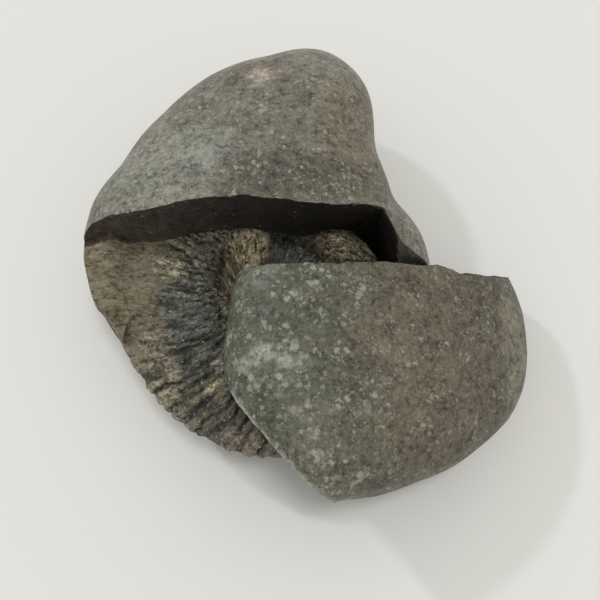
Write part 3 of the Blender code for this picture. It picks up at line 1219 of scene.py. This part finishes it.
    def build(self, finish: FossilMineral) -> bpy.types.Object:
        """Builds the fossil itself.

        Args:
            finish: Its finish, for the tones.

        Returns:
            The piece.
        """
        thing = self.solid("ribbed_ammonite", True)
        thing.data.transform(Matrix.Translation(self.middle))
        tones = []
        for vert in thing.data.vertices:
            tone = toned(vert.co, finish.ground, finish.patches)
            across, away = vert.co.x - self.middle[0], vert.co.y - self.middle[1]
            off = math.hypot(across, away)
            azimuth = math.degrees(math.atan2(away, across))
            stray = 0.10 * noise.noise(vert.co / 3.0) + 0.05 * noise.noise(vert.co / 1.2)
            outer = smoothstep(0.66, 0.90, off / ring(self.rim, azimuth) + stray)
            left = 0.12 + 0.88 * smoothstep(-20.0, -27.0, vert.co.x)
            tones.append(tone.lerp(Vector(finish.cover), outer * left))
        MeshTools.note_tones(thing, tones)
        covered = [self.covered(vert.co) for vert in thing.data.vertices]
        MeshTools.note(thing, Domain.POINT, Mask.MATRIX, covered)
        return thing


@dataclass(frozen=True)
class HostStone:
    """The back of the nodule: its skin, the broken wall and limb, the strip of matrix and the saucer.

    Attributes:
        form: The whole nodule before it broke.
        gap: The gap that parts it from the ammonite.
        wall_top: Where the back wall meets the skin, by x.
        wall_height: The height of that edge, by x.
        wall_undercut: How steeply the wall is undercut, by x.
        limb: The limb's inner wall, by y.
        limb_end: Where the limb ends.
        floor: The height of the broken floor, by azimuth about the ammonite.
        matrix_inner: The matrix strip's inner side, by y.
        matrix_front: The strip's broken front end as a line in plan.
        matrix_top: The strip's height and how it falls outwards and forwards.
        matrix_edge: How far from its inner side the strip starts to slope down, and by how much.
        block: The left, near, far and top side of the missing block before it is shaped.
        strip: The left side of the strip's block, its width, far side and foot.
        lap_from: Where the worn skin starts to lap over the limb's broken edge and where it does fully, in x.
        lap_end: Where the same starts at the limb's end, in x and in y.
    """

    form: WornForm
    gap: float = 0.06
    wall_top: Pairs = (
        (-60.0, 12.2), (-42.8, 12.1), (-39.0, 12.1), (-34.6, 12.4), (-28.5, 12.7), (-22.7, 13.4),
        (-17.9, 13.9), (-10.3, 13.7), (-5.6, 13.1), (0.0, 12.1), (7.5, 11.8), (15.3, 12.8), (60.0, 12.8),
    )  # fmt: skip
    wall_height: Pairs = (
        (-60.0, 20.0), (-42.9, 26.1), (-40.9, 29.9), (-38.5, 32.5), (-34.0, 35.4), (-28.0, 37.8),
        (-22.0, 39.0), (0.0, 39.0), (7.5, 38.0), (15.2, 35.4), (60.0, 35.0),
    )  # fmt: skip
    wall_undercut: Pairs = (
        (-60.0, 0.05), (-38.0, 0.05), (-33.0, -0.05), (-26.0, -0.12), (-12.0, -0.04), (0.0, 0.06),
        (10.0, 0.2), (60.0, 0.26),
    )  # fmt: skip
    limb: Pairs = (
        (-60.0, 25.5), (4.0, 24.3), (5.0, 22.0), (6.7, 19.4), (10.2, 17.2), (13.0, 15.3), (60.0, 14.0),
    )  # fmt: skip
    limb_end: float = 5.0
    floor: Pairs = (
        (0.0, 6.0), (160.0, 10.0), (192.0, 9.5), (225.0, 8.5), (270.0, 8.0), (330.0, 6.0), (360.0, 6.0),
    )  # fmt: skip
    matrix_inner: Pairs = ((-12.0, -35.5), (-8.0, -34.4), (-3.0, -33.2), (9.0, -34.3), (20.0, -35.0))
    matrix_front: tuple[float, float, float] = (-40.5, -1.5, -1.1)
    matrix_top: tuple[float, float, float] = (26.2, 0.5, 0.12)
    matrix_edge: tuple[float, float] = (4.0, 3.4)
    block: tuple[float, float, float, float] = (-48.0, -60.0, 12.0, 60.0)
    strip: tuple[float, float, float, float] = (-50.0, 16.0, 18.0, -4.0)
    lap_from: tuple[float, float] = (8.0, 13.0)
    lap_end: tuple[float, float] = (16.5, 8.0)

    def smooth_wall(self, x: float, z: float) -> float:
        """The y of the back wall without its roughness.

        Args:
            x: The place across.
            z: The height.

        Returns:
            The wall's y there.
        """
        below = min(20.0, max(0.0, along(self.wall_height, x) - z))
        return along(self.wall_top, x) + along(self.wall_undercut, x) * below

    def wall(self, x: float, z: float) -> float:
        """The y of the back wall.

        Args:
            x: The place across.
            z: The height.

        Returns:
            The wall's y there.
        """
        place = self.smooth_wall(x, z)
        place += rough(x, 0.0, z, 9.0, 0.5)
        return place + rough(x, 4.0, z, 2.2, 0.22) + crumble(Vector((x, 7.0, z)), 1.3, 0.22)

    def missing_block(self, ammonite: Ammonite) -> bpy.types.Object:
        """The block that is missing from the nodule in front of its back wall.

        Args:
            ammonite: The fossil, whose middle the floor is measured about.

        Returns:
            The block.
        """
        bm = MeshTools.gridded_cube((170, 90, 60))
        left, near, far, top = self.block
        for vert in bm.verts:
            u, v, w = vert.co
            z = top * w
            front = near + (far - near) * v**0.8
            right = along(self.limb, front) + rough(3.0, front, z, 5.0, 0.3)
            past_limb = smoothstep(-self.limb_end - 0.7, -self.limb_end + 0.7, -front)
            x = left + (right - left) * u**1.25 + 40.0 * past_limb * max(0.0, u - 0.8) / 0.2
            y = front + (self.wall(x, z) - far) * smoothstep(6.5, far, front)
            azimuth = math.degrees(math.atan2(y - ammonite.middle[1], x - ammonite.middle[0])) % 360.0
            floor = along(self.floor, azimuth) + rough(x, y, 5.0, 6.0, 0.6)
            floor += crumble(Vector((x, y, 2.0)), 2.0, 0.3)
            vert.co = (x, y, floor + (top - floor) * w)
        bmesh.ops.triangulate(bm, faces=bm.faces)
        return MeshTools.object_from("missing_block", bm)

    def matrix_block(self) -> bpy.types.Object:
        """The block that the host keeps over the ammonite's outer edge.

        Returns:
            The block.
        """
        bm = MeshTools.gridded_cube((36, 50, 30))
        x0, y0, slope = self.matrix_front
        left, width, far, foot = self.strip
        for vert in bm.verts:
            u, v, w = vert.co
            x = left + width * u
            front = y0 + slope * (x - x0) + rough(x, 2.0, 30.0 * w, 4.0, 0.5)
            y = front + (far - front) * v
            inner = along(self.matrix_inner, y)
            x = left + (inner + rough(7.0, y, 30.0 * w, 5.0, 0.6) - left) * u
            top = self.matrix_top[0] - self.matrix_top[1] * (self.matrix_inner[2][1] - x)
            top += rough(x, y, 3.0, 5.0, 0.45) - self.matrix_top[2] * (9.0 - y)
            top += rough(x, y, 9.0, 1.8, 0.25) + crumble(Vector((x * 0.6, y * 1.8, 1.0)), 1.4, 0.3)
            top -= self.matrix_edge[1] * smoothstep(self.matrix_edge[0], 0.0, inner - x)
            vert.co = (x, y, foot + (top - foot) * w)
        bmesh.ops.triangulate(bm, faces=bm.faces)
        return MeshTools.object_from("matrix_block", bm)

    def lap(self, place: Vector) -> float:
        """How deep the worn skin's colour laps over the limb's broken edge and its end.

        Args:
            place: The place to read.

        Returns:
            The depth under the skin.
        """
        edge = smoothstep(*self.lap_from, place.x) * max(0.0, 0.8 + 1.8 * noise.noise(place / 1.3))
        x, y = self.lap_end
        return edge + 5.0 * smoothstep(x, x + 1.5, place.x) * smoothstep(y, y - 1.0, place.y)

    def on_strip(self, place: Vector) -> bool:
        """Whether a place of the broken face lies on the strip of matrix.

        Args:
            place: The place to read.

        Returns:
            Whether it does.
        """
        in_front = place.y < self.smooth_wall(place.x, place.z) - 0.9
        return place.x < -30.0 and place.z > 13.0 and in_front

    def build(self, ammonite: Ammonite, finish: WornSkin) -> bpy.types.Object:
        """Builds the host stone.

        Args:
            ammonite: The fossil that its pocket holds.
            finish: Its finish, for the tones.

        Returns:
            The piece.
        """
        host = self.form.solid("river_worn_host", SKIN_LEVELS)
        missing = self.missing_block(ammonite)
        MeshTools.combine(missing, self.matrix_block(), Cut.REMOVE)
        MeshTools.combine(host, missing, Cut.REMOVE)
        MeshTools.combine(host, ammonite.smooth_form("pocket", self.gap), Cut.REMOVE)
        MeshTools.keep_largest(host)
        broken: list[float] = []
        matrix: list[float] = []
        for place in [face.center for face in host.data.polygons]:
            deep = self.form.depth(place) > BROKEN_DEPTH + self.lap(place)
            cut = place.z > BROKEN_HEIGHT and deep
            broken.append(float(cut))
            matrix.append(float(cut and self.on_strip(place)))
        MeshTools.note(host, Domain.FACE, Mask.BROKEN, broken)
        MeshTools.note(host, Domain.FACE, Mask.MATRIX, matrix)
        tones = [toned(vert.co, finish.ground, finish.patches) for vert in host.data.vertices]
        MeshTools.note_tones(host, tones)
        return host


@dataclass(frozen=True)
class LoosePiece:
    """The cap of the nodule's skin that slipped to the right and leans on the ammonite.

    Attributes:
        form: The skin that it is cut from, in its slipped pose.
        gap: The gap that parts it from the ammonite.
        back: Where its back face stands, by x.
        back_top: The height of that face's upper edge, by x.
        back_lean: How far the face leans out below that edge, by x.
        side: Where its front left face stands, by y.
        side_top: The height of that face's upper edge, by y.
        side_undercut: How steeply the face is undercut below that edge.
        floor: Its underside's height, by x.
        floor_turn: How much of y counts as x there.
        print_middle: The middle of the ammonite's print in its underside.
        print_turn: How that print is turned about X, Y and Z, in degrees.
        sides: The left, right, near and top side of the block that it is cut to, before that is shaped.
        edge_highlight: How far the painted highlight, a pale line along the worn, rounded lower left edge,
            reaches from that edge, and where it starts, in y.
    """

    form: WornForm
    gap: float = 0.5
    back: Pairs = (
        (-26.0, 2.0), (-12.0, 1.2), (-7.4, 0.5), (0.0, 0.4), (7.4, 1.1), (15.1, 2.6), (21.1, 3.2),
        (24.6, 3.5), (29.3, 3.5), (33.7, 4.3), (38.4, 5.7), (42.1, 7.2), (60.0, 11.0),
    )  # fmt: skip
    back_top: Pairs = (
        (-14.0, 27.0), (0.0, 33.3), (15.0, 31.0), (25.0, 27.0), (34.0, 23.0), (42.0, 16.7), (60.0, 8.0),
    )  # fmt: skip
    back_lean: Pairs = ((-24.0, 0.0), (24.0, 0.0), (30.0, 0.55), (60.0, 0.55))
    side: Pairs = (
        (-60.0, 17.0), (-41.2, 3.6), (-39.9, 2.2), (-36.4, -1.7), (-31.0, -6.6), (-27.0, -9.6),
        (-24.5, -11.4), (-21.2, -12.8), (-18.4, -14.2), (-14.8, -16.5), (-8.0, -22.0), (0.0, -26.0),
        (60.0, -26.0),
    )  # fmt: skip
    side_top: Pairs = (
        (-60.0, 28.0), (-39.9, 29.8), (-36.4, 32.2), (-31.0, 33.0), (-24.5, 31.2), (-14.8, 28.2),
        (60.0, 28.0),
    )  # fmt: skip
    side_undercut: float = 0.42
    floor: Pairs = (
        (-60.0, 26.6), (-13.0, 26.2), (2.0, 22.0), (18.0, 14.0), (27.0, 7.5), (33.0, -1.0), (60.0, -2.0),
    )  # fmt: skip
    floor_turn: float = 0.10
    print_middle: Place = (11.0, -8.0, 12.5)
    print_turn: tuple[float, float, float] = (0.0, 21.0, 14.0)
    sides: tuple[float, float, float, float] = (-26.0, 60.0, -60.0, 64.0)
    edge_highlight: tuple[float, float] = (0.9, -20.0)

    def side_at(self, y: float, height: float) -> float:
        """The x of the front left face.

        Args:
            y: The place along it.
            height: The height.

        Returns:
            The face's x there.
        """
        deep = min(12.0, max(-3.0, along(self.side_top, y) - height))
        side = along(self.side, y) + self.side_undercut * deep * smoothstep(-8.0, -14.0, y)
        coarse = rough(3.0, y, height, 6.0, 0.4) + rough(3.0, y, height, 1.8, 0.12)
        return side + coarse * smoothstep(0.0, -9.0, y)

    def block(self) -> bpy.types.Object:
        """The block that the skin is cut to: inside its back, front left and under sides.

        Returns:
            The block.
        """
        bm = MeshTools.gridded_cube((150, 120, 76))
        left, right, near, top = self.sides
        for vert in bm.verts:
            u, v, w = vert.co
            x = left + (right - left) * u
            z = top * w
            below = min(6.0, max(-10.0, along(self.back_top, x) - z))
            back = along(self.back, x) + along(self.back_lean, x) * below
            back += rough(x, 9.0, z, 8.0, 0.4) + rough(x, 1.0, z, 2.0, 0.16)
            back += crumble(Vector((x, 5.0, z)), 1.3, 0.2)
            y = near + (back - near) * v
            side = along(self.side, y)
            under = along(self.floor, side + (right - side) * u + self.floor_turn * y)
            side = self.side_at(y, under + (top - under) * w)
            x = side + (right - side) * u
            floor = along(self.floor, x + self.floor_turn * y) + rough(x, y, 0.0, 7.0, 0.8)
            floor += rough(x, y, 6.0, 2.2, 0.25)
            vert.co = (x, y, floor + (top - floor) * w)
        bmesh.ops.triangulate(bm, faces=bm.faces)
        return MeshTools.object_from("cap_block", bm)

    def build(self, ammonite: Ammonite, finish: WornSkin) -> bpy.types.Object:
        """Builds the loose piece.

        Args:
            ammonite: The fossil that it leans on and carries the print of.
            finish: Its finish, for the tones.

        Returns:
            The piece.
        """
        loose = self.form.solid("loose_cap", SKIN_LEVELS)
        MeshTools.combine(loose, self.block(), Cut.KEEP)
        imprint = ammonite.solid("imprint", False)
        place = Matrix.Translation(self.print_middle)
        for angle, axis in zip(reversed(self.print_turn), "ZYX"):
            place = place @ Matrix.Rotation(math.radians(angle), 4, axis)
        imprint.data.transform(place)
        MeshTools.combine(loose, imprint, Cut.REMOVE)
        MeshTools.combine(loose, ammonite.smooth_form("clearance", self.gap), Cut.REMOVE)
        MeshTools.keep_largest(loose)
        broken = [
            float(face.center.z > BROKEN_HEIGHT and self.form.depth(face.center) > BROKEN_DEPTH)
            for face in loose.data.polygons
        ]
        MeshTools.note(loose, Domain.FACE, Mask.BROKEN, broken)
        MeshTools.note(loose, Domain.FACE, Mask.MATRIX, [0.0] * len(broken))
        tones = []
        width, start = self.edge_highlight
        for vert in loose.data.vertices:
            tone = toned(vert.co, finish.ground, finish.patches)
            # The pale line along the lower left edge is a painted highlight: the light that the worn, rounded
            # edge catches.
            edge = abs(vert.co.x - self.side_at(vert.co.y, vert.co.z))
            worn = smoothstep(width, 0.2, edge) * smoothstep(start, start - 5.0, vert.co.y)
            tones.append(tone.lerp(Vector(finish.pale), 0.75 * worn))
        MeshTools.note_tones(loose, tones)
        return loose


@dataclass(frozen=True)
class Lamp:
    """A distant lamp.

    Attributes:
        name: Its name.
        travel: The direction that its light travels in.
        strength: Its strength.
        width: How wide it looks from the table, in radians.
        colour: Its colour.
    """

    name: str
    travel: Place
    strength: float
    width: float
    colour: Colour

    def build(self) -> None:
        """Hangs the lamp."""
        light = bpy.data.lights.new(self.name, "SUN")
        light.energy = self.strength
        light.angle = self.width
        light.color = self.colour
        thing = bpy.data.objects.new(self.name, light)
        thing.rotation_mode = "QUATERNION"
        thing.rotation_quaternion = Vector(self.travel).to_track_quat("-Z", "Y")
        bpy.context.scene.collection.objects.link(thing)


@dataclass(frozen=True)
class Studio:
    """The table, the lights and the camera.

    Attributes:
        table: The table's finish.
        lamps: The distant lamps.
        table_size: The table's half width in metres.
        sky: The colour of the light from all round, and sky_strength its strength.
        sky_strength: See sky.
        target: What the camera looks at, in the drawing's millimetres.
        elevation: How high the camera looks from, in degrees.
        distance: How far off it is, in millimetres.
        lens: Its focal length in millimetres, and sensor its sensor's width.
        sensor: See lens.
        nearest: The nearest that it sees, in metres.
    """

    table: PaleTable
    lamps: tuple[Lamp, ...]
    table_size: float = 2.0
    sky: Colour = (1.0, 0.985, 0.935)
    sky_strength: float = 0.64
    target: Place = (0.0, 0.0, 20.0)
    elevation: float = 66.0
    distance: float = 183.333
    lens: float = 55.0
    sensor: float = 36.0
    nearest: float = 0.005

    def lay_table(self) -> None:
        """Lays the table's flat top at the height of 0."""
        bm = bmesh.new()
        bmesh.ops.create_grid(bm, x_segments=1, y_segments=1, size=self.table_size)
        floor = MeshTools.object_from("table_top", bm)
        floor.data.materials.append(self.table.material())

    def light_sky(self) -> None:
        """Lights the scene softly from all round."""
        world = bpy.data.worlds.new("studio_sky")
        world.use_nodes = True
        background = world.node_tree.nodes["Background"]
        background.inputs["Color"].default_value = (*self.sky, 1.0)
        background.inputs["Strength"].default_value = self.sky_strength
        bpy.context.scene.world = world

    def set_camera(self) -> None:
        """Sets the camera up at the photo's angle."""
        lens = bpy.data.cameras.new("photo_camera")
        lens.lens = self.lens
        lens.sensor_width = self.sensor
        lens.clip_start = self.nearest
        camera = bpy.data.objects.new("photo_camera", lens)
        tip = math.radians(self.elevation)
        back = Vector((0.0, -math.cos(tip), math.sin(tip)))
        target = Vector(self.target) - Vector((*FOOTPRINT_MIDDLE, 0.0))
        camera.location = (target + back * self.distance) * MM
        camera.rotation_mode = "QUATERNION"
        camera.rotation_quaternion = back.to_track_quat("Z", "Y")
        bpy.context.scene.collection.objects.link(camera)
        bpy.context.scene.camera = camera
        bpy.context.scene.view_settings.view_transform = "Standard"

    def build(self) -> None:
        """Makes the table, the lights and the camera."""
        self.lay_table()
        self.light_sky()
        for lamp in self.lamps:
            lamp.build()
        self.set_camera()


NODULE = WornForm(
    middle=(-8.0, 12.0, 18.0),
    radii=(
        33.5, 29.8, 30.5, 34.3, 45.0, 49.2, 45.6, 42.5, 38.6, 36.0, 34.7, 36.0,
        36.3, 35.8, 35.5, 36.0, 38.0, 41.0, 43.5, 44.0, 42.0, 39.5, 37.0, 35.6,
    ),
    rise=20.2,
    drop=18.25,
    roundness=2.45,
    tilt=0.0,
    lumps=0.25,
    chips=(((-0.8, 32.2, 16.0), 2.3, 0.55), ((3.0, 29.5, 18.0), 0.9, 0.25)),
)  # fmt: skip

CAP = WornForm(
    middle=(15.0, -14.0, 18.0),
    radii=(
        31.6, 34.0, 36.8, 38.4, 36.0, 35.0, 34.5, 34.5, 35.0, 35.0, 33.5, 31.8,
        31.2, 31.4, 32.0, 33.0, 32.0, 27.0, 24.6, 23.2, 23.1, 24.1, 25.8, 28.8,
    ),
    rise=14.0,
    drop=24.0,
    roundness=2.6,
    tilt=21.0,
    lumps=0.22,
)  # fmt: skip

HOST_SKIN = WornSkin(
    name="worn_shale_host",
    roughness=0.56,
    ground=(0.142, 0.135, 0.106),
    patches=(
        Patch((-29.0, 22.0), (15.0, 13.0), (0.200, 0.201, 0.166)),
        Patch((0.0, 50.0), (17.0, 8.0), (0.185, 0.170, 0.138)),
        Patch((-17.7, 22.0), (6.5, 8.0), (0.205, 0.214, 0.184), 0.8),
        Patch((-38.0, 14.5), (7.0, 4.0), (0.155, 0.148, 0.118), 0.8),
        Patch((11.0, 32.0), (8.0, 15.0), (0.160, 0.129, 0.092), 0.8),
        Patch((-1.0, 18.0), (18.0, 6.5), (0.082, 0.074, 0.056), 0.95),
        Patch((14.0, 19.0), (6.0, 5.0), (0.105, 0.090, 0.068), 0.7),
        Patch((-9.6, 45.4), (6.5, 5.2), (0.086, 0.071, 0.053), 0.8),
        Patch((-8.3, 44.2), (3.3, 3.6), (0.430, 0.370, 0.285)),
        Patch((21.5, 12.0), (3.0, 8.0), (0.190, 0.172, 0.138), 0.8),
    ),
    pale=(0.330, 0.316, 0.260),
    rust=(0.200, 0.145, 0.102),
    spots_from=-30.0,
    spots_to=18.0,
    spot_size=1.15,
    spot_left=0.85,
    spot_right=0.72,
    contrast=1.3,
)

CAP_SKIN = WornSkin(
    name="worn_shale_cap",
    roughness=0.56,
    ground=(0.074, 0.077, 0.054),
    patches=(
        Patch((24.0, -15.0), (18.0, 28.0), (0.116, 0.098, 0.069)),
        Patch((34.0, -1.0), (12.0, 5.0), (0.094, 0.078, 0.054), 0.9),
        Patch((26.0, -34.0), (14.0, 7.0), (0.102, 0.086, 0.059), 0.9),
        Patch((8.0, -34.0), (11.0, 7.0), (0.102, 0.094, 0.066), 0.8),
        # A painted highlight: the lighter strip along the right rim, where the rim catches the light.
        Patch((42.5, -10.0), (3.5, 16.0), (0.170, 0.150, 0.112), 0.9),
        Patch((-4.0, -18.5), (8.0, 5.0), (0.112, 0.118, 0.090), 0.6),
        Patch((-8.0, -1.5), (6.0, 4.0), (0.120, 0.130, 0.101), 0.8),
        Patch((-6.2, -17.0), (2.1, 1.8), (0.350, 0.370, 0.300), 0.9),
        Patch((-9.4, -19.1), (1.7, 1.3), (0.280, 0.295, 0.240), 0.8),
        Patch((-2.4, -19.0), (1.8, 1.4), (0.270, 0.285, 0.230), 0.8),
        Patch((1.8, -15.0), (1.4, 1.0), (0.220, 0.190, 0.145), 0.5),
        Patch((-0.9, -27.6), (1.3, 1.1), (0.250, 0.220, 0.165), 0.6),
        Patch((2.1, -31.8), (1.3, 1.1), (0.245, 0.215, 0.162), 0.6),
    ),
    pale=(0.290, 0.304, 0.238),
    rust=(0.175, 0.132, 0.095),
    spots_from=0.0,
    spots_to=16.0,
    spot_size=1.30,
    spot_left=1.02,
    spot_right=0.55,
    contrast=1.3,
)

FOSSIL = FossilMineral(
    name="dark_fossil_mineral",
    roughness=0.50,
    ground=(0.078, 0.072, 0.052),
    patches=(
        Patch((-22.5, -7.0), (9.0, 11.0), (0.064, 0.071, 0.059)),
        Patch((-22.0, -15.5), (7.0, 6.0), (0.038, 0.043, 0.033), 0.9),
        # Pale gold: the golden mineral, lightened by a painted sheen.
        Patch((-27.8, 4.3), (6.5, 3.2), (0.330, 0.300, 0.205), 0.75),
        Patch((-20.0, 9.0), (9.0, 3.5), (0.080, 0.074, 0.054), 0.8),
        Patch((-14.5, -23.0), (7.5, 5.0), (0.029, 0.027, 0.019), 0.95),
        Patch((-14.2, -28.9), (7.0, 2.6), (0.125, 0.104, 0.076), 0.85),
        Patch((-1.7, 12.5), (7.0, 5.0), (0.074, 0.076, 0.066)),
        Patch((9.5, 11.0), (6.5, 4.0), (0.250, 0.215, 0.140), 0.9),
        Patch((3.5, 14.0), (2.2, 4.0), (0.080, 0.050, 0.036), 0.6),
        # Painted shade: the dark strip on the flank beside the loose piece's left edge, in the gap under that
        # edge.
        Patch((-15.9, 2.5), (2.2, 6.0), (0.048, 0.040, 0.026), 0.9),
        Patch((-9.0, 13.0), (2.6, 2.8), (0.540, 0.475, 0.315)),
        Patch((-11.4, 9.5), (2.2, 3.6), (0.520, 0.455, 0.300)),
        Patch((-13.4, 4.0), (1.7, 4.6), (0.300, 0.258, 0.165), 0.95),
        Patch((-14.2, -2.0), (1.5, 3.4), (0.230, 0.200, 0.130), 0.85),
        Patch((-15.8, -18.3), (2.6, 2.8), (0.210, 0.182, 0.115), 0.85),
        Patch((-15.7, -14.9), (1.6, 1.4), (0.300, 0.275, 0.205), 0.9),
        Patch((-14.4, 3.2), (1.2, 1.1), (0.330, 0.310, 0.240), 0.9),
    ),
    cover=(0.172, 0.150, 0.104),
    pale=(0.260, 0.236, 0.170),
    gold=(0.270, 0.225, 0.135),
    glint=(0.50, 0.47, 0.36),
)

TABLE = PaleTable(name="pale_table", roughness=0.75, specular=0.2, ground=(0.783, 0.780, 0.764))

LAMPS = (
    Lamp("lamp_from_back_left", (0.90, -0.60, -1.0), 0.50, 0.07, (0.96, 0.985, 1.02)),
    Lamp("lamp_from_above", (-0.10, 0.12, -1.0), 0.82, 0.22, (1.0, 0.99, 0.96)),
)


def main() -> None:
    """Builds the three pieces and the studio, and reports each."""
    logging.basicConfig(level=logging.INFO, format="%(name)s: %(message)s")
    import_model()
    effects = SharedEffects()
    ammonite = Ammonite()
    host, loose = HostStone(NODULE), LoosePiece(CAP)
    plan = (
        (host.build(ammonite, HOST_SKIN), HOST_SKIN, "host_stone", "black_shale_skin"),
        (ammonite.build(FOSSIL), FOSSIL, "ammonite", "ammonite_mineral"),
        (loose.build(ammonite, CAP_SKIN), CAP_SKIN, "loose_piece", "black_shale_cap"),
    )
    for piece, finish, node, slot in plan:
        piece.data.materials.clear()
        piece.data.materials.append(finish.material(effects))
        MeshTools.place(piece, node, slot)
        LOG.info("%s replaces %s: %d faces", piece.name, node, len(piece.data.polygons))
    Studio(TABLE, LAMPS).build()


if __name__ == "__main__":
    main()
